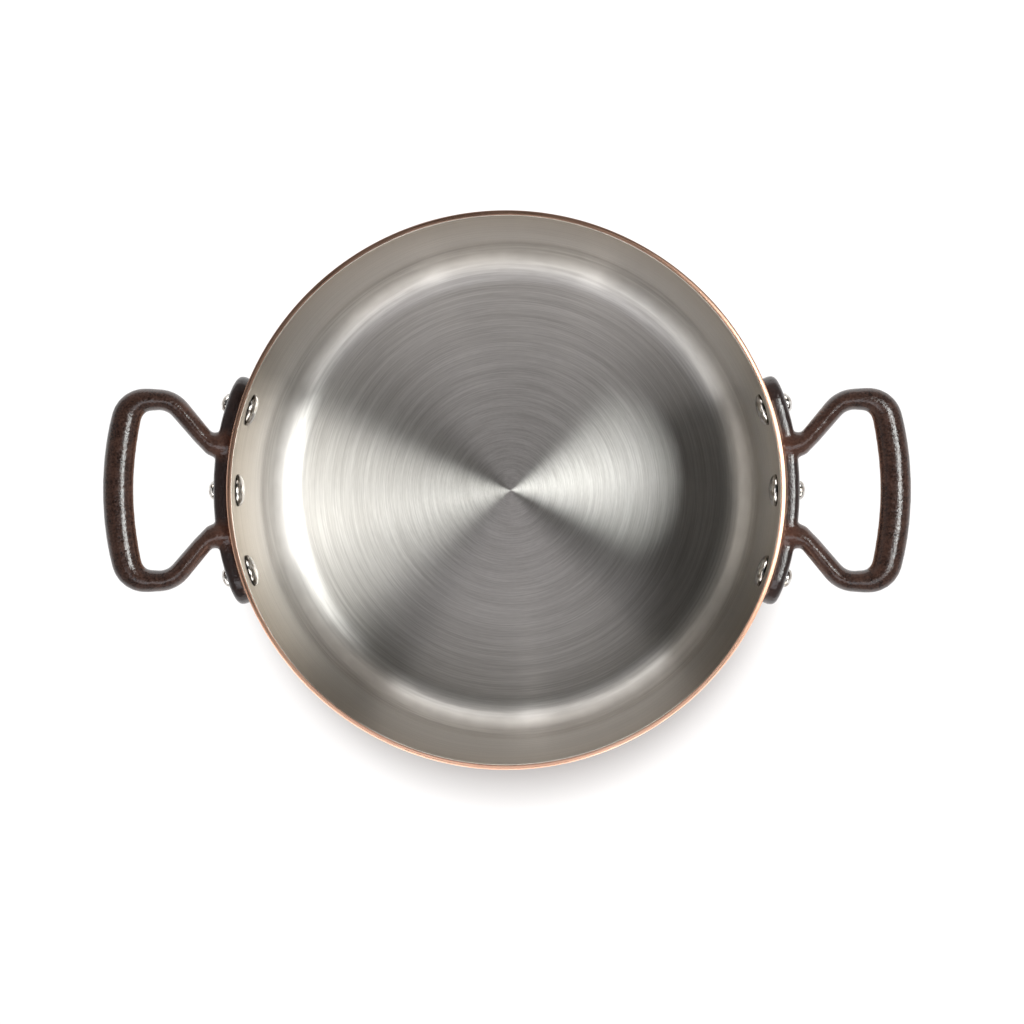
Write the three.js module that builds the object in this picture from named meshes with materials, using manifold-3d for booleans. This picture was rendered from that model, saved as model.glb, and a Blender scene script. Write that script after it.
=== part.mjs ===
// Round two-handled stewpan: a copper shell with a steel lining bonded inside it, and two cast-iron
// loop handles on opposite sides, each held by three rivets through the wall.
// Millimetres, +Z up. The origin is the centre of the base, and the handles lie along X.
import * as THREE from 'three';
import { mergeVertices } from 'three/addons/utils/BufferGeometryUtils.js';
import Module from 'manifold-3d';

const wasm = await Module();
wasm.setup();

// Pan body
const INNER_RADIUS = 100;
const INNER_DEPTH = 105;
const INNER_CORNER = 16;
const LINING_THICKNESS = 0.3;
const COPPER_THICKNESS = 1.7;
const RIM_EDGE_BREAK = 0.4;

// Rivets, in a level row across each bracket
const RIVET_DROP = 15;
const RIVET_PITCH = 31;
const SHANK_DIAMETER = 5;
const INNER_HEAD_DIAMETER = 12;
const INNER_HEAD_EDGE = 0.4;
const INNER_HEAD_CROWN = 1.4;
const OUTER_HEAD_DIAMETER = 7;
const OUTER_HEAD_EDGE = 0.3;
const OUTER_HEAD_CROWN = 1.9;

// Handle bracket, a plate bent round the wall with rounded ends
const BRACKET_THICKNESS = 5.7;
const BRACKET_HEIGHT = 18;
const BRACKET_END_MARGIN = 11;
const BRACKET_EDGE_ROUND = 2.5;

// Handle loop, by its centre line: necks, slanting arms, shoulders, corners and a bowed grip
const GRIP_REACH = 40.9;
const GRIP_BOW_RADIUS = 120;
const GRIP_WIDTH = 11.3;
const GRIP_HEIGHT = 9;
const LOOP_HALF_WIDTH = 33.4;
const CORNER_RADIUS = 8.5;
const SHOULDER_LENGTH = 3.6;
const SHOULDER_RADIUS = 10;
const SHOULDER_WIDTH = 7.9;
const ARM_ANGLE = THREE.MathUtils.degToRad(50);
const ARM_HEIGHT = 10;
const NECK_RADIUS = 10;
const NECK_HALF_SPACING = 16.5;
const NECK_WIDTH = 7;
const NECK_FLARE = 1.2;
const NECK_FLARE_LENGTH = 3;
const NECK_PROUD = 0.6;
const LOOP_RISE = THREE.MathUtils.degToRad(6);

// Gap between pieces that seat on each other, and round a shank in its hole
const SEAT_GAP = 0.3;
const HOLE_GAP = 0.3;

// Facets
const PAN_FACETS = 72;
const PAN_CORNER_STEPS = 3;
const SEAT_FACETS = 144;
const RIVET_FACETS = 18;
const CROWN_STEPS = 4;
const BRACKET_HALF_RING = 24;
const BRACKET_ROUND_STEPS = 3;
const LOOP_HALF_RING = 8;
const LOOP_ARC_STEPS = 3;

// Derived sizes
const WALL = LINING_THICKNESS + COPPER_THICKNESS;
const OUTER_RADIUS = INNER_RADIUS + WALL;
const RIM_HEIGHT = WALL + INNER_DEPTH;
const RIVET_HEIGHT = RIM_HEIGHT - RIVET_DROP;
const RIVET_ANGLES = [-1, 0, 1].map((place) => (place * RIVET_PITCH) / OUTER_RADIUS);
const HANDLE_TURNS = { right: 0, left: Math.PI };
const HOLE_RADIUS = SHANK_DIAMETER / 2 + HOLE_GAP;
const BRACKET_SEAT = OUTER_RADIUS + SEAT_GAP;
const BRACKET_FACE = BRACKET_SEAT + BRACKET_THICKNESS;
const LOOP_HEIGHT = RIVET_HEIGHT + BRACKET_HEIGHT / 2 + NECK_PROUD - ARM_HEIGHT / 2;

// Solid of a closed geometry, with its seams closed and its empty facets dropped
function toSolid(geometry) {
  geometry.deleteAttribute('normal');
  geometry.deleteAttribute('uv');
  const merged = mergeVertices(geometry);
  const corners = merged.index.array;
  const triVerts = [];
  for (let i = 0; i < corners.length; i += 3) {
    const [a, b, c] = corners.subarray(i, i + 3);
    if (a !== b && b !== c && c !== a) {
      triVerts.push(a, b, c);
    }
  }
  return new wasm.Manifold(new wasm.Mesh({
    numProp: 3,
    vertProperties: new Float32Array(merged.attributes.position.array),
    triVerts: new Uint32Array(triVerts),
  }));
}

function toGeometry(solid) {
  const { vertProperties, triVerts } = solid.getMesh();
  const geometry = new THREE.BufferGeometry();
  geometry.setAttribute('position', new THREE.BufferAttribute(vertProperties, 3));
  geometry.setIndex(new THREE.BufferAttribute(triVerts, 1));
  geometry.computeVertexNormals();
  return geometry;
}

// Profile of (radius, height) points turned round the Z axis
function revolve(profile, facets) {
  return new THREE.LatheGeometry(profile, facets).rotateX(Math.PI / 2);
}

// Skin over rings of equal count. A ring runs from one tip over the top to the other tip and back below,
// so each end closes with strips between its upper and lower sides.
function loft(rings) {
  const count = rings[0].length;
  const index = [];
  for (let r = 0; r + 1 < rings.length; r += 1) {
    for (let k = 0; k < count; k += 1) {
      const a = r * count + k;
      const b = r * count + ((k + 1) % count);
      index.push(a, b, b + count, a, b + count, a + count);
    }
  }
  const last = (rings.length - 1) * count;
  for (let k = 0; k < count / 2; k += 1) {
    const lower = (count - k) % count;
    const lowerNext = count - k - 1;
    index.push(k, lower, lowerNext, k, lowerNext, k + 1);
    index.push(last + k, last + lowerNext, last + lower, last + k, last + k + 1, last + lowerNext);
  }
  const geometry = new THREE.BufferGeometry().setFromPoints(rings.flat());
  geometry.setIndex(index);
  return geometry;
}

// Angles of a ring's points, with the two tips at 0 and a half turn
function ringAngles(halfCount) {
  return Array.from({ length: 2 * halfCount }, (_, k) => (Math.PI * k) / halfCount);
}

// Line from the axis to the rim, at a depth under the pan's inside face
function panLine(depth, edgeBreak) {
  const radius = INNER_RADIUS + depth;
  const floor = WALL - depth;
  const corner = INNER_CORNER + depth;
  const line = new THREE.Path();
  line.moveTo(0, floor);
  line.lineTo(radius - corner, floor);
  line.absarc(radius - corner, floor + corner, corner, -Math.PI / 2, 0, false);
  line.lineTo(radius, RIM_HEIGHT - edgeBreak);
  line.lineTo(radius - edgeBreak, RIM_HEIGHT);
  return line.getPoints(PAN_CORNER_STEPS);
}

// One layer of the pan's wall and floor
function panLayer(innerDepth, outerDepth, edgeBreak) {
  const profile = [...panLine(outerDepth, edgeBreak), ...panLine(innerDepth, 0).reverse()];
  return toSolid(revolve(profile, PAN_FACETS));
}

// Round hole through the wall and bracket at one rivet
function rivetHole(angle) {
  const length = 2 * (BRACKET_FACE - INNER_RADIUS);
  const hole = new THREE.CylinderGeometry(HOLE_RADIUS, HOLE_RADIUS, length, RIVET_FACETS);
  hole.rotateZ(-Math.PI / 2);
  hole.translate((INNER_RADIUS + BRACKET_FACE) / 2, 0, RIVET_HEIGHT);
  hole.rotateZ(angle);
  return toSolid(hole);
}

function drilled(solid, turns) {
  let result = solid;
  for (const turn of turns) {
    for (const angle of RIVET_ANGLES) {
      result = result.subtract(rivetHole(turn + angle));
    }
  }
  return result;
}

// Plate with half-round ends, wrapped round the wall, with its outer edge rounded.
// It starts inside the wall, which trims it to its seat.
function bracketBlank() {
  const halfLength = RIVET_PITCH + BRACKET_END_MARGIN;
  const levels = [{ radius: INNER_RADIUS, inset: 0 }];
  for (let step = 0; step <= BRACKET_ROUND_STEPS; step += 1) {
    const turn = (step / BRACKET_ROUND_STEPS) * (Math.PI / 2);
    levels.push({
      radius: BRACKET_FACE - BRACKET_EDGE_ROUND * (1 - Math.sin(turn)),
      inset: BRACKET_EDGE_ROUND * (1 - Math.cos(turn)),
    });
  }
  const rings = levels.map(({ radius, inset }) => {
    const endRadius = BRACKET_HEIGHT / 2 - inset;
    const straight = halfLength - BRACKET_HEIGHT / 2;
    return ringAngles(BRACKET_HALF_RING).map((angle) => {
      const along = (straight + endRadius) * Math.cos(angle);
      const past = Math.max(0, Math.abs(along) - straight);
      const half = Math.sqrt(Math.max(0, endRadius ** 2 - past ** 2));
      const around = along / OUTER_RADIUS;
      const height = RIVET_HEIGHT + half * Math.sign(Math.sin(angle));
      return new THREE.Vector3(radius * Math.cos(around), radius * Math.sin(around), height);
    });
  });
  return toSolid(loft(rings));
}

// Centre line of the loop's +Y half in its own plane, from the middle of the grip to the wall
function loopHalfLine() {
  const grip = OUTER_RADIUS + GRIP_REACH;
  const bowCentre = grip - GRIP_BOW_RADIUS;
  const cornerSide = LOOP_HALF_WIDTH - CORNER_RADIUS;
  const corner = bowCentre + Math.sqrt((GRIP_BOW_RADIUS - CORNER_RADIUS) ** 2 - cornerSide ** 2);
  const bowAngle = Math.atan2(cornerSide, corner - bowCentre);
  const shoulder = corner - SHOULDER_LENGTH;
  const shoulderSide = LOOP_HALF_WIDTH - SHOULDER_RADIUS;
  const turned = 1 - Math.cos(ARM_ANGLE);
  const armFall = LOOP_HALF_WIDTH - NECK_HALF_SPACING - (SHOULDER_RADIUS + NECK_RADIUS) * turned;
  const armRun = (SHOULDER_RADIUS + NECK_RADIUS) * Math.sin(ARM_ANGLE) + armFall / Math.tan(ARM_ANGLE);
  const neckEnd = shoulder - armRun;
  const line = new THREE.Path();
  line.absarc(bowCentre, 0, GRIP_BOW_RADIUS, 0, bowAngle, false);
  line.absarc(corner, cornerSide, CORNER_RADIUS, bowAngle, Math.PI / 2, false);
  line.absarc(shoulder, shoulderSide, SHOULDER_RADIUS, Math.PI / 2, Math.PI / 2 + ARM_ANGLE, false);
  line.absarc(
    neckEnd, NECK_HALF_SPACING + NECK_RADIUS, NECK_RADIUS,
    -Math.PI / 2 + ARM_ANGLE, -Math.PI / 2, true,
  );
  line.lineTo(Math.min(neckEnd, INNER_RADIUS), NECK_HALF_SPACING);
  return { points: line.getPoints(LOOP_ARC_STEPS), shoulder, grip };
}

// Width of the loop's section at a distance from the pan's axis: it flares into the bracket,
// widens along the arms and swells to the grip
function loopWidth(reach, shoulder, grip) {
  const { lerp, smoothstep, clamp, inverseLerp } = THREE.MathUtils;
  const flare = smoothstep(BRACKET_FACE + NECK_FLARE_LENGTH - reach, 0, NECK_FLARE_LENGTH);
  const arm = clamp(inverseLerp(BRACKET_FACE, shoulder, reach), 0, 1);
  const swell = smoothstep(reach, shoulder, grip);
  return lerp(lerp(NECK_WIDTH, SHOULDER_WIDTH, arm), GRIP_WIDTH, swell) + 2 * NECK_FLARE * flare;
}

// Loop with an oval section along the centre line, tilted up from the bracket
function loopBlank() {
  const { points, shoulder, grip } = loopHalfLine();
  const otherHalf = points.slice(1).map((p) => new THREE.Vector2(p.x, -p.y)).reverse();
  const line = [...otherHalf, ...points];
  const rings = line.map((centre, i) => {
    const before = line[Math.max(0, i - 1)];
    const after = line[Math.min(line.length - 1, i + 1)];
    const along = after.clone().sub(before).normalize();
    const side = new THREE.Vector3(-along.y, along.x, 0);
    const halfWidth = loopWidth(centre.x, shoulder, grip) / 2;
    const swell = THREE.MathUtils.smoothstep(centre.x, shoulder, grip);
    const halfHeight = THREE.MathUtils.lerp(ARM_HEIGHT, GRIP_HEIGHT, swell) / 2;
    return ringAngles(LOOP_HALF_RING).map((angle) => {
      const point = new THREE.Vector3(centre.x, centre.y, halfHeight * Math.sin(angle));
      return point.addScaledVector(side, halfWidth * Math.cos(angle));
    });
  });
  const blank = loft(rings);
  blank.translate(-OUTER_RADIUS, 0, 0);
  blank.rotateY(-LOOP_RISE);
  blank.translate(OUTER_RADIUS, 0, LOOP_HEIGHT);
  return toSolid(blank);
}

// One casting: bracket and loop grown together, trimmed to the wall and drilled
function handleSolid() {
  const trim = new THREE.CylinderGeometry(BRACKET_SEAT, BRACKET_SEAT, 2 * RIM_HEIGHT, SEAT_FACETS);
  trim.rotateX(Math.PI / 2);
  trim.translate(0, 0, RIVET_HEIGHT);
  return drilled(bracketBlank().add(loopBlank()).subtract(toSolid(trim)), [HANDLE_TURNS.right]);
}

// Points of a domed crown from its edge to its top, along a rivet's axis
function crown(edgeRadius, base, rise) {
  const sphere = (edgeRadius ** 2 + rise ** 2) / (2 * Math.abs(rise));
  const span = Math.asin(edgeRadius / sphere);
  return Array.from({ length: CROWN_STEPS + 1 }, (_, step) => {
    const angle = span * (1 - step / CROWN_STEPS);
    const drop = sphere * (1 - Math.cos(angle));
    return new THREE.Vector2(sphere * Math.sin(angle), base + rise - Math.sign(rise) * drop);
  });
}

// Rivet along +X: low domed head on the lining, shank through the wall, button head on the bracket
function rivetSolid() {
  const innerHead = INNER_HEAD_DIAMETER / 2;
  const outerHead = OUTER_HEAD_DIAMETER / 2;
  const shank = SHANK_DIAMETER / 2;
  const liningFacet = INNER_RADIUS * Math.cos(Math.PI / PAN_FACETS);
  const innerSeat = Math.sqrt(liningFacet ** 2 - innerHead ** 2) - SEAT_GAP;
  const outerSeat = BRACKET_FACE + SEAT_GAP;
  const profile = [
    ...crown(innerHead, innerSeat - INNER_HEAD_EDGE, -INNER_HEAD_CROWN).reverse(),
    new THREE.Vector2(innerHead, innerSeat),
    new THREE.Vector2(shank, innerSeat),
    new THREE.Vector2(shank, outerSeat),
    new THREE.Vector2(outerHead, outerSeat),
    ...crown(outerHead, outerSeat + OUTER_HEAD_EDGE, OUTER_HEAD_CROWN),
  ];
  return toSolid(revolve(profile, RIVET_FACETS).rotateY(Math.PI / 2));
}

const copper = new THREE.MeshStandardMaterial({ color: 0xc98a68, roughness: 0.3, metalness: 1 });
const brushedSteel = new THREE.MeshStandardMaterial({ color: 0xb5b1ab, roughness: 0.35, metalness: 1 });
const castIron = new THREE.MeshStandardMaterial({ color: 0x4a3730, roughness: 0.6, metalness: 0.3 });
const rivetSteel = new THREE.MeshStandardMaterial({ color: 0xc4c0ba, roughness: 0.2, metalness: 1 });

function piece(name, geometry, material) {
  const mesh = new THREE.Mesh(geometry, material);
  mesh.name = name;
  return mesh;
}

const pan = new THREE.Group();
const wallTurns = Object.values(HANDLE_TURNS);
const shell = drilled(panLayer(LINING_THICKNESS, WALL, RIM_EDGE_BREAK), wallTurns);
const lining = drilled(panLayer(0, LINING_THICKNESS, 0), wallTurns);
pan.add(piece('copper_shell', toGeometry(shell), copper));
pan.add(piece('steel_lining', toGeometry(lining), brushedSteel));

const handleGeometry = toGeometry(handleSolid());
const rivetGeometry = toGeometry(rivetSolid());
for (const [side, turn] of Object.entries(HANDLE_TURNS)) {
  const handle = new THREE.Group();
  handle.rotation.z = turn;
  handle.add(piece(`handle_${side}`, handleGeometry, castIron));
  RIVET_ANGLES.forEach((angle, i) => {
    const rivet = piece(`rivet_${side}_${i + 1}`, rivetGeometry, rivetSteel);
    rivet.rotation.z = angle;
    rivet.position.z = RIVET_HEIGHT;
    handle.add(rivet);
  });
  pan.add(handle);
}

export default pan;
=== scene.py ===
# Looks of a round two-handled copper stewpan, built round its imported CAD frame. Metres, +Z up.
import math

import bpy
from mathutils import Matrix, Vector


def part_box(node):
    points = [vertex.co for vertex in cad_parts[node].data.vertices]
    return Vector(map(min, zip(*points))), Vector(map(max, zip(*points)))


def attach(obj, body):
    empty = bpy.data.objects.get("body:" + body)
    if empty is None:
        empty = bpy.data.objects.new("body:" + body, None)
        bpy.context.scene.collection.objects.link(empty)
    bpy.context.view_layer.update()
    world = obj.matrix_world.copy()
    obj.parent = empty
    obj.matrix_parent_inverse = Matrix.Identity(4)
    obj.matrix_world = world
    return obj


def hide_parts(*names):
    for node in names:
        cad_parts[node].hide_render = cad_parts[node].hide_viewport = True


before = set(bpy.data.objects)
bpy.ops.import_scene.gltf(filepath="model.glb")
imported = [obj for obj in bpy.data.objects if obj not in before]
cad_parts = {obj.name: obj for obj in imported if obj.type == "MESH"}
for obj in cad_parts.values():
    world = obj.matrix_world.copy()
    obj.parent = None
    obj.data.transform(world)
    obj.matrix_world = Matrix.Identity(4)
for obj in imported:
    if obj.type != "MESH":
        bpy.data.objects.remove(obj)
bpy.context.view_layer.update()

# Sizes read from the frame
SHELL_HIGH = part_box("copper_shell")[1]
LINING_LOW, LINING_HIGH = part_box("steel_lining")
OUTER_RADIUS = SHELL_HIGH.x
BOND_RADIUS = LINING_HIGH.x
RIM_HEIGHT = SHELL_HIGH.z
BOND_FLOOR = LINING_LOW.z
SIDES = ("right", "left")
RIVETS = [f"rivet_{side}_{place}" for side in SIDES for place in (1, 2, 3)]

# Sizes of the pan's fine form
LINING_THICKNESS = 0.0003
INNER_CORNER = 0.016
RIM_CREST = 0.0004
RIM_CROWN_RADIUS = 0.003
RIM_EDGE_ROUND = 0.00015
FLOOR_LEAN_REACH = 0.08

# Sizes of a rivet: its seat inside lies just under the lining's face
SHANK_RADIUS = 0.0025
INNER_HEAD_RADIUS = 0.006
INNER_HEAD_SEAT = 0.1001
INNER_HEAD_EDGE = 0.0005
INNER_HEAD_CROWN = 0.0024
OUTER_HEAD_RADIUS = 0.0035
OUTER_HEAD_RISE = 0.0026
OUTER_HEAD_EDGE = 0.0006

# Skin of a casting, how far from the pan's axis its painted copper reflection and its darker bracket reach,
# and where its necks lie
CASTING_VOXEL = 0.0006
MELT_SHARE = 0.5
MELT_STEPS = 8
COPPER_REFLECTION_START = 0.103
BRACKET_DARK_START = 0.107
BRACKET_DARK_END = 0.111
COPPER_REFLECTION_END = 0.13
NECK_HALF_SPACING = 0.0165

# Fineness of the meshes
TURN_SEGMENTS = 256
RIVET_SEGMENTS = 40
CORNER_STEPS = 24
ROUND_STEPS = 6
DOME_STEPS = 10
SHARP_ANGLE = 40

# Colours
STEEL_DARK = (0.49, 0.47, 0.447, 1)
STEEL_PALE = (0.67, 0.65, 0.623, 1)
# Painted shade: the lining wall's colours towards the rim, darker and warmer than the steel lower down
WALL_TOP_DARK = (0.41, 0.365, 0.314, 1)
WALL_TOP_PALE = (0.545, 0.494, 0.436, 1)
STEEL_EDGE_TINT = (0.66, 0.61, 0.55, 1)
COPPER_BRIGHT = (0.82, 0.505, 0.365, 1)
COPPER_TARNISHED = (0.69, 0.385, 0.265, 1)
IRON_DARK = (0.032, 0.016, 0.012, 1)
IRON_PALE = (0.135, 0.066, 0.047, 1)
IRON_COPPER_REFLECTION = (0.21, 0.1, 0.07, 1)
IRON_BRACKET_DARK = (0.034, 0.028, 0.029, 1)
RIVET_DULL = (0.38, 0.34, 0.30, 1)
RIVET_BRIGHT = (0.74, 0.72, 0.69, 1)
RIVET_EDGE_SHADE = (0.03, 0.025, 0.02, 1)
STAGE_GREY = (0.25, 0.25, 0.25, 1)
WHITE = (1, 1, 1, 1)
SKY_LOW = (0.3, 0.3, 0.3, 1)
SKY_HIGH = (0.04, 0.04, 0.04, 1)

# Stage, lamps and camera
STAGE_HALF = 4.0
STAGE_DROP = 0.0002
STAGE_GLOW = 0.42
LAMP_DISTANCE = 1.6
FLOOR_LAMP_DISTANCE = 2.0
FRONT_AZIMUTHS = (227, 268, 309)
BACK_AZIMUTHS = (80, 114)
KEY_TINT = (0.975, 1.0, 0.985)
OVERHEAD_TINT = (0.97, 0.955, 1.0)
CAMERA_SENSOR = 36
CAMERA_LENS = 84.15
CAMERA_PLACE = (0.0186, 0, RIM_HEIGHT + 0.872)
CAMERA_TARGET = (0.0024, -0.0079, RIM_HEIGHT)

# Glow of the key lamp at places from one side of it (0) to the other (1)
KEY_FADE = ((0.0, 0.58), (0.2, 0.69), (0.48, 1.0), (0.74, 0.7), (1.0, 0.33))


def arc(centre, radius, start, stop, steps):
    """Points of a circular arc, with angles in degrees, both ends included."""
    points = []
    for step in range(steps + 1):
        angle = math.radians(start + (stop - start) * step / steps)
        points.append((centre[0] + radius * math.cos(angle), centre[1] + radius * math.sin(angle)))
    return points


def turned_mesh(name, profile, segments):
    """Closed mesh of a (radius, height) profile turned round Z. Its ends lie on the axis."""
    verts = [(0, 0, profile[0][1])]
    for k in range(segments):
        angle = 2 * math.pi * k / segments
        verts += [(r * math.cos(angle), r * math.sin(angle), z) for r, z in profile[1:-1]]
    verts.append((0, 0, profile[-1][1]))
    count = len(profile) - 2
    last = len(verts) - 1
    faces = []
    for k in range(segments):
        a = 1 + k * count
        b = 1 + ((k + 1) % segments) * count
        faces.append((0, b, a))
        faces += [(a + i, b + i, b + i + 1, a + i + 1) for i in range(count - 1)]
        faces.append((last, a + count - 1, b + count - 1))
    mesh = bpy.data.meshes.new(name)
    mesh.from_pydata(verts, [], faces)
    mesh.shade_smooth()
    mesh.set_sharp_from_angle(angle=math.radians(SHARP_ANGLE))
    return mesh


def add_piece(name, mesh, material, node):
    """Object of a mesh, with its material, in the place of a CAD node."""
    piece = bpy.data.objects.new(name, mesh)
    bpy.context.scene.collection.objects.link(piece)
    mesh.materials.clear()
    mesh.materials.append(material)
    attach(piece, "root")
    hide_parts(node)
    return piece


class Shader:
    """Node tree of one new material, with short calls to add nodes and link them."""

    def __init__(self, name):
        self.material = bpy.data.materials.new(name)
        self.material.use_nodes = True
        self.nodes = self.material.node_tree.nodes
        self.links = self.material.node_tree.links
        self.surface = self.nodes["Principled BSDF"]

    def add(self, kind, inputs=None, **settings):
        """New node with its settings, and its inputs set or linked."""
        node = self.nodes.new(kind)
        for key, value in settings.items():
            setattr(node, key, value)
        for key, value in (inputs or {}).items():
            self.put(node, key, value)
        return node

    def put(self, node, key, value):
        """Sets an input to a constant, or links it to an output socket."""
        if isinstance(value, bpy.types.NodeSocket):
            self.links.new(value, node.inputs[key])
        else:
            node.inputs[key].default_value = value

    def finish(self, **inputs):
        """Sets or links the surface's inputs, named with _ for a space, and gives the material."""
        for key, value in inputs.items():
            self.put(self.surface, key.replace("_", " "), value)
        return self.material

    def math(self, operation, a, b=0.0):
        return self.add("ShaderNodeMath", {0: a, 1: b}, operation=operation).outputs[0]

    def noise(self, vector, scale, detail, roughness=0.5):
        inputs = {"Vector": vector, "Scale": scale, "Detail": detail, "Roughness": roughness}
        return self.add("ShaderNodeTexNoise", inputs).outputs["Fac"]

    def remap(self, value, low, high, to_low, to_high):
        """Number that goes from to_low to to_high as a value goes from low to high, and no further."""
        inputs = {"Value": value, "From Min": low, "From Max": high, "To Min": to_low, "To Max": to_high}
        return self.add("ShaderNodeMapRange", inputs).outputs["Result"]

    def mix(self, factor, a, b):
        """Colour a where the factor is 0, and b where it is 1."""
        node = self.add("ShaderNodeMix", {"Factor": factor}, data_type="RGBA")
        self.put(node, 6, a)
        self.put(node, 7, b)
        return node.outputs[2]

    def bump(self, height, strength, distance):
        inputs = {"Height": height, "Strength": strength, "Distance": distance}
        return self.add("ShaderNodeBump", inputs).outputs["Normal"]

    def vector(self, operation, a, b=(0, 0, 0)):
        return self.add("ShaderNodeVectorMath", {0: a, 1: b}, operation=operation).outputs[0]

    def place(self):
        """Each point's place in the part's frame."""
        return self.add("ShaderNodeTexCoord").outputs["Object"]

    def coordinate(self, axis):
        return self.add("ShaderNodeSeparateXYZ", {0: self.place()}).outputs[axis]

    def around(self):
        """Direction round Z at each point."""
        return self.add("ShaderNodeTangent", direction_type="RADIAL", axis="Z").outputs[0]

    def grooved(self, slope):
        """Normal that leans by a slope across marks that run round Z."""
        normal = self.add("ShaderNodeNewGeometry").outputs["Normal"]
        across = self.vector("CROSS_PRODUCT", normal, self.around())
        lean = self.add("ShaderNodeVectorMath", {0: across, "Scale": slope}, operation="SCALE").outputs[0]
        return self.vector("NORMALIZE", self.vector("ADD", normal, lean))

    def from_axis(self):
        """Part of each point's place that lies level, straight out from Z."""
        return self.vector("MULTIPLY", self.place(), (1, 1, 0))

    def radius(self):
        return self.add("ShaderNodeVectorMath", {0: self.from_axis()}, operation="LENGTH").outputs["Value"]

    def turned(self, pitch, arcs):
        """Coordinates for marks that run round Z: pitch is their spacing, arcs their count in a turn."""
        along = self.math("DIVIDE", self.math("SUBTRACT", self.coordinate("Z"), self.radius()), pitch)
        out = self.vector("NORMALIZE", self.from_axis())
        circle = self.vector("MULTIPLY", out, (arcs / (2 * math.pi),) * 3)
        up = self.add("ShaderNodeCombineXYZ", {"Z": along}).outputs[0]
        return self.vector("ADD", circle, up)


def brushed_steel():
    """Steel brushed in circles round the pan's axis, on the floor and the wall."""
    shader = Shader("lining_brushed_steel")
    fine = shader.noise(shader.turned(pitch=0.0005, arcs=12), scale=1.0, detail=1.0)
    short = shader.noise(shader.turned(pitch=0.0004, arcs=90), scale=1.0, detail=1.0)
    broad = shader.noise(shader.turned(pitch=0.002, arcs=8), scale=1.0, detail=1.0)
    lines = shader.math("ADD", fine, shader.math("MULTIPLY", short, 0.4))
    marks = shader.math("ADD", lines, shader.math("MULTIPLY", broad, 0.55))
    shade = shader.remap(marks, low=0.675, high=1.275, to_low=0, to_high=1)
    plain = shader.mix(shade, STEEL_DARK, STEEL_PALE)
    # Painted shade: the wall's colour turns darker and warmer as it rises towards the rim
    shaded_top = shader.mix(shade, WALL_TOP_DARK, WALL_TOP_PALE)
    up_wall = shader.remap(shader.coordinate("Z"), low=0.03, high=RIM_HEIGHT, to_low=0, to_high=1)
    lean = shader.remap(shader.radius(), low=0.0, high=FLOOR_LEAN_REACH, to_low=-0.032, to_high=0.016)
    groove = shader.remap(fine, low=0.0, high=1.0, to_low=-0.012, to_high=0.012)
    return shader.finish(
        Base_Color=shader.mix(up_wall, plain, shaded_top),
        Metallic=1.0,
        Roughness=0.28,
        Specular_Tint=STEEL_EDGE_TINT,
        Anisotropic=1.0,
        Anisotropic_Rotation=0.25,
        Tangent=shader.around(),
        Normal=shader.grooved(shader.math("ADD", groove, lean)),
    )


def copper():
    """Satin copper with faint turning marks and a little uneven tarnish."""
    shader = Shader("shell_copper")
    fine = shader.noise(shader.turned(pitch=0.0006, arcs=24), scale=1.0, detail=3.0, roughness=0.6)
    tarnish = shader.noise(shader.place(), scale=18.0, detail=4.0)
    dull = shader.remap(tarnish, low=0.35, high=0.7, to_low=0, to_high=1)
    groove = shader.remap(fine, low=0.0, high=1.0, to_low=-0.05, to_high=0.05)
    return shader.finish(
        Base_Color=shader.mix(dull, COPPER_BRIGHT, COPPER_TARNISHED),
        Metallic=1.0,
        Roughness=shader.remap(fine, low=0.3, high=0.7, to_low=0.24, to_high=0.34),
        Anisotropic=0.5,
        Anisotropic_Rotation=0.25,
        Tangent=shader.around(),
        Normal=shader.grooved(groove),
    )


def cast_iron():
    """Dark brown iron casting with a fine grain, a painted warm reflection of the copper near the pan, and a
    nearly black bracket.
    """
    shader = Shader("handle_cast_iron")
    grain = shader.noise(shader.place(), scale=1300.0, detail=2.0, roughness=0.6)
    patches = shader.noise(shader.place(), scale=220.0, detail=4.0, roughness=0.65)
    blend = shader.remap(shader.math("ADD", patches, grain), low=0.75, high=1.25, to_low=0, to_high=1)
    iron = shader.mix(blend, IRON_DARK, IRON_PALE)
    # Painted reflection: the loop is lightened and warmed towards the copper, near the pan
    copper_reflection = shader.remap(shader.radius(), low=COPPER_REFLECTION_START, high=COPPER_REFLECTION_END, to_low=0.4, to_high=0.0)
    loop = shader.mix(copper_reflection, iron, IRON_COPPER_REFLECTION)
    sideways = shader.math("ABSOLUTE", shader.coordinate("Y"))
    from_neck = shader.math("ABSOLUTE", shader.math("SUBTRACT", sideways, NECK_HALF_SPACING))
    # The bracket, away from the necks, is coloured a near-black grey
    on_bracket = shader.remap(shader.radius(), low=BRACKET_DARK_START, high=BRACKET_DARK_END, to_low=0.8, to_high=0.0)
    off_neck = shader.remap(from_neck, low=0.003, high=0.007, to_low=0.0, to_high=1.0)
    return shader.finish(
        Base_Color=shader.mix(shader.math("MULTIPLY", on_bracket, off_neck), loop, IRON_BRACKET_DARK),
        Roughness=shader.remap(grain, low=0.35, high=0.65, to_low=0.08, to_high=0.26),
        Specular_IOR_Level=0.9,
        Normal=shader.bump(grain, strength=0.22, distance=0.0005),
    )


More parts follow.
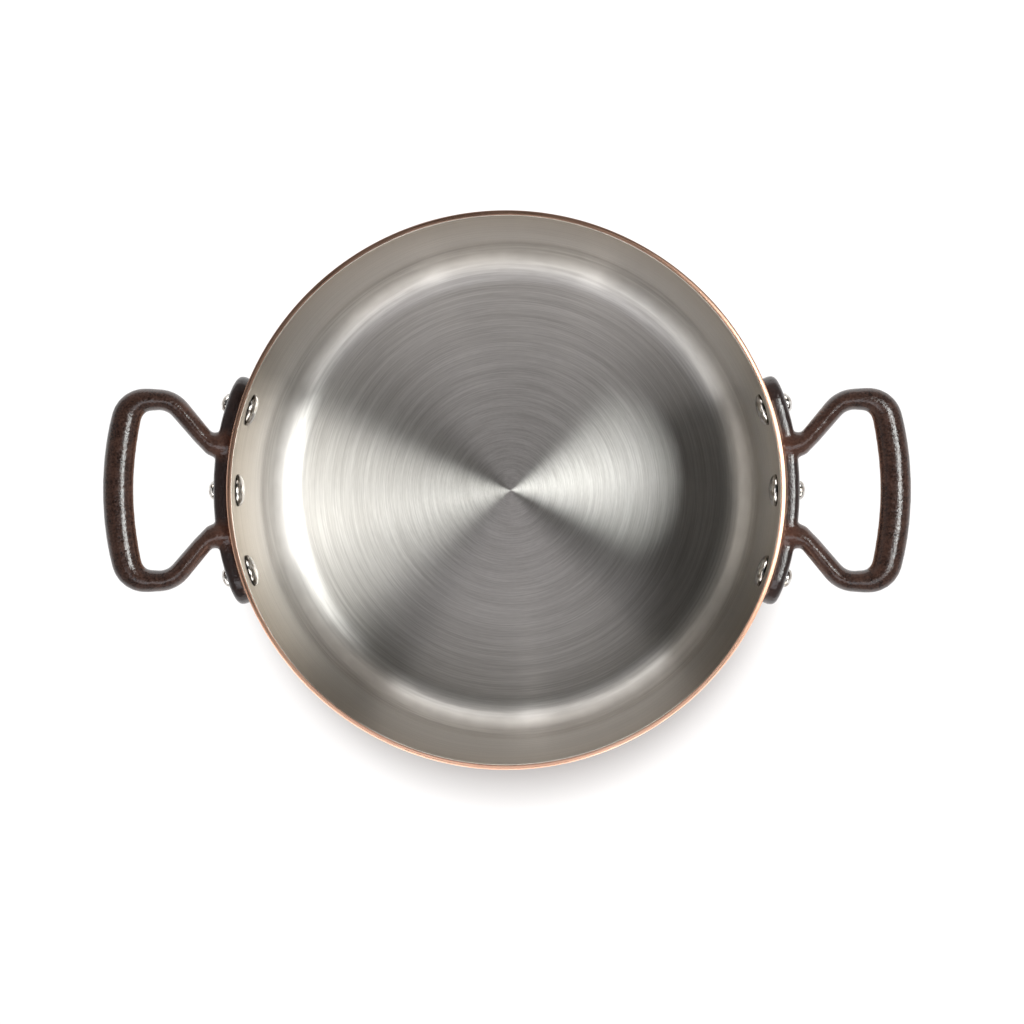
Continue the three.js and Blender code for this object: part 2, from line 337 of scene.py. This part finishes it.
def polished_steel():
    """Polished steel of the rivet heads, with faint marks, and painted shade round their edges."""
    shader = Shader("rivet_polished_steel")
    wear = shader.noise(shader.place(), scale=500.0, detail=3.0)
    worn = shader.remap(wear, low=0.4, high=0.6, to_low=0, to_high=1)
    # Painted shade: the heads' edge rings, where they meet the wall and the bracket, are coloured dark
    edge_shade = shader.add("ShaderNodeAttribute", attribute_name="edge_shade").outputs["Fac"]
    return shader.finish(
        Base_Color=shader.mix(edge_shade, shader.mix(worn, RIVET_DULL, RIVET_BRIGHT), RIVET_EDGE_SHADE),
        Metallic=1.0,
        Roughness=shader.remap(wear, low=0.3, high=0.7, to_low=0.1, to_high=0.2),
        Normal=shader.bump(wear, strength=0.25, distance=0.0004),
    )


def pan_line(depth):
    """Line from the axis along the floor and corner to the wall's foot, at a depth under the inside face."""
    radius = BOND_RADIUS - LINING_THICKNESS + depth
    floor = BOND_FLOOR + LINING_THICKNESS - depth
    corner = INNER_CORNER + depth
    return [(0, floor)] + arc((radius - corner, floor + corner), corner, -90, 0, CORNER_STEPS)


def rim_line():
    """Rim from the outer wall to the lining: a rounded edge, then a low crown that falls outwards."""
    crest = BOND_RADIUS + RIM_CREST
    inner_radius = RIM_CROWN_RADIUS - RIM_EDGE_ROUND
    outer_turn = math.degrees(math.acos((OUTER_RADIUS - RIM_EDGE_ROUND - crest) / inner_radius))
    bond_turn = math.degrees(math.acos(-RIM_CREST / RIM_CROWN_RADIUS))
    crown_low = RIM_HEIGHT - RIM_CROWN_RADIUS
    edge_low = crown_low + inner_radius * math.sin(math.radians(outer_turn))
    edge = arc((OUTER_RADIUS - RIM_EDGE_ROUND, edge_low), RIM_EDGE_ROUND, 0, outer_turn, ROUND_STEPS)
    crown = arc((crest, crown_low), RIM_CROWN_RADIUS, outer_turn, bond_turn, ROUND_STEPS)
    return edge[:-1] + crown


def make_shell(material):
    """Copper body: under the base, up the outer wall, over the rim and back down to the inside's middle."""
    wall = OUTER_RADIUS - BOND_RADIUS
    profile = pan_line(LINING_THICKNESS + wall) + rim_line() + pan_line(LINING_THICKNESS)[::-1]
    mesh = turned_mesh("pan_copper", profile, TURN_SEGMENTS)
    return add_piece("pan_copper", mesh, material, "copper_shell")


def make_lining(material):
    """Thin skin on the inside of the copper, with a rounded lip at the rim."""
    bond, top = rim_line()[-1]
    lip = arc((bond, top - LINING_THICKNESS), LINING_THICKNESS, 90, 180, ROUND_STEPS)
    profile = pan_line(LINING_THICKNESS) + lip + pan_line(0)[::-1]
    mesh = turned_mesh("pan_lining", profile, TURN_SEGMENTS)
    add_piece("pan_lining", mesh, material, "steel_lining")


def make_handle(side, material):
    """The casting's CAD form with its edges melted together as a mould leaves them."""
    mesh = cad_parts[f"handle_{side}"].data.copy()
    piece = add_piece(f"casting_{side}", mesh, material, f"handle_{side}")
    remesh = piece.modifiers.new("skin", "REMESH")
    remesh.mode = "VOXEL"
    remesh.voxel_size = CASTING_VOXEL
    remesh.use_smooth_shade = True
    smooth = piece.modifiers.new("melt", "SMOOTH")
    smooth.factor = MELT_SHARE
    smooth.iterations = MELT_STEPS
    return piece


def dome(radius, foot, edge, crown, up):
    """Half section of a rivet head from its foot to its top: a short side, then an even curve."""
    points = [(radius, foot), (radius, foot + up * edge)]
    for step in range(1, DOME_STEPS):
        angle = math.pi / 2 * step / DOME_STEPS
        points.append((radius * math.cos(angle), foot + up * (edge + crown * math.sin(angle))))
    return points


def make_rivet(node, material):
    """Rivet with a low dome inside the wall and a button head on the bracket."""
    cad = [Vector(v.co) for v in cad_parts[node].data.vertices]
    middle = sum(cad, Vector()) / len(cad)
    reach = [math.hypot(v.x, v.y) for v in cad if abs(v.z - middle.z) < SHANK_RADIUS]
    turn = math.atan2(middle.y, middle.x)
    inner_top = INNER_HEAD_SEAT - (INNER_HEAD_EDGE + INNER_HEAD_CROWN)
    outer_top = max(reach)
    inner = dome(INNER_HEAD_RADIUS, INNER_HEAD_SEAT, INNER_HEAD_EDGE, INNER_HEAD_CROWN, -1)
    seat = outer_top - OUTER_HEAD_RISE
    outer = dome(OUTER_HEAD_RADIUS, seat, OUTER_HEAD_EDGE, OUTER_HEAD_RISE - OUTER_HEAD_EDGE, 1)
    shank = [(SHANK_RADIUS, INNER_HEAD_SEAT), (SHANK_RADIUS, seat)]
    profile = [(0, inner_top)] + inner[::-1] + shank + outer + [(0, outer_top)]
    mesh = turned_mesh(f"{node}_head", profile, RIVET_SEGMENTS)
    # Points of the heads' edge rings, which carry the painted shade
    dark = {inner[0], inner[1], outer[0]}
    rings = [float(point in dark) for point in profile[1:-1]] * RIVET_SEGMENTS
    mesh.attributes.new("edge_shade", "FLOAT", "POINT").data.foreach_set("value", [0.0] + rings + [0.0])
    lay_down = Matrix.Rotation(math.pi / 2, 4, "Y")
    mesh.transform(Matrix.Translation((0, 0, middle.z)) @ Matrix.Rotation(turn, 4, "Z") @ lay_down)
    add_piece(f"{node}_head", mesh, material, node)


def make_stage():
    """Wide white floor just under the pan."""
    low, high = -STAGE_HALF, STAGE_HALF
    corners = [(low, low, 0), (high, low, 0), (high, high, 0), (low, high, 0)]
    mesh = bpy.data.meshes.new("floor")
    mesh.from_pydata(corners, [], [(0, 1, 2, 3)])
    floor = bpy.data.objects.new("floor", mesh)
    floor.location.z = -STAGE_DROP
    bpy.context.scene.collection.objects.link(floor)
    material = Shader("floor_white").finish(
        Base_Color=STAGE_GREY,
        Roughness=0.9,
        Specular_IOR_Level=0.0,
        Emission_Color=WHITE,
        Emission_Strength=STAGE_GLOW,
    )
    mesh.materials.append(material)
    return floor


def face(obj, target, side):
    """Turns an object to look at a target, with its own X as near as can be to a side direction."""
    back = (obj.location - Vector(target)).normalized()
    up = back.cross(Vector(side)).normalized()
    right = up.cross(back)
    obj.rotation_euler = Matrix((right, up, back)).transposed().to_euler()


def softbox(name, azimuth, elevation, width, height, glow, distance=LAMP_DISTANCE):
    """Rectangular lamp that faces the pan, by its direction from the pan in degrees and its radiance."""
    data = bpy.data.lights.new(name, "AREA")
    data.shape = "RECTANGLE"
    data.size = width
    data.size_y = height
    data.energy = glow * math.pi * width * height
    lamp = bpy.data.objects.new(name, data)
    turn = math.radians(azimuth)
    tilt = math.radians(elevation)
    flat = distance * math.cos(tilt)
    lamp.location = (flat * math.cos(turn), flat * math.sin(turn), distance * math.sin(tilt))
    face(lamp, (0, 0, 0), (-math.sin(turn), math.cos(turn), 0))
    bpy.context.scene.collection.objects.link(lamp)
    return lamp


def fade_sideways(light, fade):
    """Sets how a lamp's glow rises and falls from one of its sides to the other."""
    light.use_nodes = True
    nodes = light.node_tree.nodes
    links = light.node_tree.links
    place = nodes.new("ShaderNodeNewGeometry").outputs["Parametric"]
    across = nodes.new("ShaderNodeSeparateXYZ")
    links.new(place, across.inputs[0])
    ramp = nodes.new("ShaderNodeValToRGB")
    stops = ramp.color_ramp.elements
    while len(stops) < len(fade):
        stops.new(0.5)
    for stop, (position, level) in zip(stops, fade):
        stop.position = position
        stop.color = (level, level, level, 1)
    links.new(across.outputs["X"], ramp.inputs["Fac"])
    links.new(ramp.outputs["Color"], nodes["Emission"].inputs["Strength"])


def light_only(lamp, state, *objects):
    """Links a lamp to objects: INCLUDE lights nothing else, EXCLUDE lights all else."""
    group = bpy.data.collections.new(f"{lamp.name}_receivers")
    for obj in objects:
        group.objects.link(obj)
    for link in group.collection_objects:
        link.light_linking.link_state = state
    lamp.light_linking.receiver_collection = group


def make_lights(floor, body, castings):
    """Key and overhead lamps, low panels round the pan, and a lamp for the floor alone."""
    key = softbox("key", azimuth=9.5, elevation=64.5, width=0.812, height=0.436, glow=12.4)
    key.data.color = KEY_TINT
    fade_sideways(key.data, KEY_FADE)
    light_only(key, "EXCLUDE", floor)
    overhead = softbox("overhead", azimuth=268, elevation=70, width=1.0, height=0.6, glow=1.3)
    overhead.data.color = OVERHEAD_TINT
    light_only(overhead, "EXCLUDE", floor)
    for azimuth in FRONT_AZIMUTHS:
        panel = softbox(f"front_{azimuth}", azimuth, elevation=26, width=1.1, height=1.0, glow=2.95)
        light_only(panel, "EXCLUDE", floor, *castings)
    right_panel = softbox("right_panel", azimuth=358, elevation=36, width=0.95, height=0.8, glow=3.1)
    light_only(right_panel, "EXCLUDE", floor, *castings)
    left_panel = softbox("left_panel", azimuth=184, elevation=22, width=0.9, height=0.5, glow=2.2)
    light_only(left_panel, "EXCLUDE", floor, *castings)
    for azimuth in BACK_AZIMUTHS:
        panel = softbox(f"back_{azimuth}", azimuth, elevation=25.5, width=0.96, height=0.9, glow=3.8)
        light_only(panel, "EXCLUDE", floor, body, *castings)
    floor_light = softbox("floor_light", azimuth=90, elevation=82.5, width=0.36, height=0.36, glow=250.0,
                          distance=FLOOR_LAMP_DISTANCE)
    light_only(floor_light, "INCLUDE", floor)
    shade = bpy.data.collections.new("floor_light_blockers")
    shade.objects.link(body)
    floor_light.light_linking.blocker_collection = shade


def make_world():
    """Studio sky: pale low down, dim overhead."""
    world = bpy.data.worlds.new("studio")
    world.use_nodes = True
    nodes = world.node_tree.nodes
    links = world.node_tree.links
    place = nodes.new("ShaderNodeTexCoord")
    axes = nodes.new("ShaderNodeSeparateXYZ")
    ramp = nodes.new("ShaderNodeValToRGB")
    low, high = ramp.color_ramp.elements
    low.position = 0.0
    low.color = SKY_LOW
    high.position = 0.9
    high.color = SKY_HIGH
    links.new(place.outputs["Generated"], axes.inputs[0])
    links.new(axes.outputs["Z"], ramp.inputs["Fac"])
    links.new(ramp.outputs["Color"], nodes["Background"].inputs["Color"])
    bpy.context.scene.world = world


def make_camera():
    """Camera above the pan, a little off its axis, with the photograph's frame."""
    data = bpy.data.cameras.new("camera")
    data.sensor_width = CAMERA_SENSOR
    data.lens = CAMERA_LENS
    camera = bpy.data.objects.new("camera", data)
    camera.location = CAMERA_PLACE
    face(camera, CAMERA_TARGET, (1, 0, 0))
    bpy.context.scene.collection.objects.link(camera)
    bpy.context.scene.camera = camera


make_camera()
make_world()
body = make_shell(copper())
make_lining(brushed_steel())
iron = cast_iron()
castings = [make_handle(side, iron) for side in SIDES]
rivet_steel = polished_steel()
for node in RIVETS:
    make_rivet(node, rivet_steel)
make_lights(make_stage(), body, castings)
bpy.context.scene.view_settings.view_transform = "Standard"
